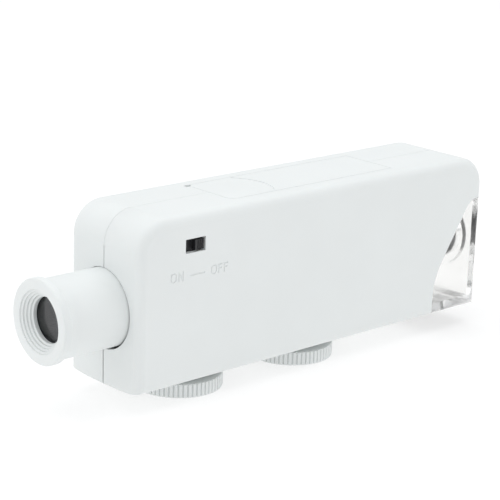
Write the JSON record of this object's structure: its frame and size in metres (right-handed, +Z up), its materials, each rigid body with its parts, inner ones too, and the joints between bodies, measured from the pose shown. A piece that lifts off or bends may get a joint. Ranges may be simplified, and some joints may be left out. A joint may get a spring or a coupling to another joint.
{
  "type": "pocket microscope",
  "caption": "Hand-held zoom microscope: flat rounded casing, draw-tube eyepiece, knurled finger wheels below, slide switch, clear lit tip.",
  "frame": {"origin": "centre of the footprint of the whole object, on the plane that the undersides of the finger wheels lie in", "axes": "+X along the optical axis from the eyepiece to the specimen tip, +Y across the casing from the switch side to the screw side, +Z up from the wheels to the battery door"},
  "size_m": [0.1354, 0.0264, 0.0466],
  "materials": {
    "white_plastic": "fine satin moulding",
    "clear_plastic": "clear moulded acrylic, polished",
    "black_plastic": "satin black moulding",
    "lens_glass": "polished optical glass",
    "plated_steel": "zinc or nickel plated steel",
    "cell_jacket": "plain printed film jacket with a band",
    "phenolic_board": "brown phenolic board",
    "contact_brass": "tinned brass",
    "lamp_epoxy": "clear epoxy over phosphor",
    "resistor_lacquer": "tan lacquer with plain bands",
    "black_insulation": "PVC insulation",
    "red_insulation": "PVC insulation"
  },
  "bodies": {
    "casing": {"near_shell": "white_plastic", "far_shell": "white_plastic", "clear_stage": "clear_plastic", "sight_ring": "black_plastic", "case_screws": "plated_steel", "battery_cell": "cell_jacket", "battery_spring": "plated_steel", "battery_plate": "plated_steel", "switch_can": "plated_steel", "switch_base": "phenolic_board", "switch_terminals": "contact_brass", "led": "lamp_epoxy", "led_holder": "black_plastic", "resistor": "resistor_lacquer", "wire_switch": "black_insulation", "wire_lamp": "red_insulation", "wire_return": "black_insulation"},
    "eyepiece": {"eyepiece_tube": "white_plastic", "eye_lens": "lens_glass", "eyepiece_spacer": "black_plastic", "field_lens": "lens_glass", "lens_ring": "black_plastic", "zoom_rack": "white_plastic"},
    "zoom_drive": {"zoom_wheel": "white_plastic", "zoom_pinion": "black_plastic", "zoom_screw": "plated_steel"},
    "focus_drive": {"focus_wheel": "white_plastic", "focus_pinion": "black_plastic", "focus_screw": "plated_steel"},
    "objective": {"objective_barrel": "white_plastic", "objective_nose": "black_plastic", "objective_lens": "lens_glass", "objective_stop": "black_plastic", "relay_lens": "lens_glass", "focus_rack": "white_plastic"},
    "slider": {"switch_knob": "black_plastic"},
    "door": {"battery_door": "white_plastic"}
  },
  "joints": [
    {"name": "zoom_turn", "type": "hinge", "parent": "casing", "child": "zoom_drive", "pos_m": [-0.0264, 0, 0], "axis": [0, 0, 1], "range_deg": [-60, 120]},
    {"name": "eyepiece_slide", "type": "slide", "parent": "casing", "child": "eyepiece", "axis": [-1, 0, 0], "range_m": [-0.005, 0.01]},
    {"name": "focus_turn", "type": "hinge", "parent": "casing", "child": "focus_drive", "pos_m": [0.0109, 0, 0], "axis": [0, 0, 1], "range_deg": [-45, 45]},
    {"name": "objective_slide", "type": "slide", "parent": "casing", "child": "objective", "axis": [1, 0, 0], "range_m": [-0.0031, 0.0031]},
    {"name": "switch_slide", "type": "slide", "parent": "casing", "child": "slider", "axis": [-1, 0, 0], "range_m": [0, 0.0026]},
    {"name": "door_hinge", "type": "hinge", "parent": "casing", "child": "door", "pos_m": [0.03675, 0, 0.0466], "axis": [0, 1, 0], "range_deg": [0, 75]}
  ],
  "couplings": [
    {"joint": "zoom_turn", "follows": "eyepiece_slide", "rad_per_m": 208.33},
    {"joint": "focus_turn", "follows": "objective_slide", "rad_per_m": -250}
  ]
}
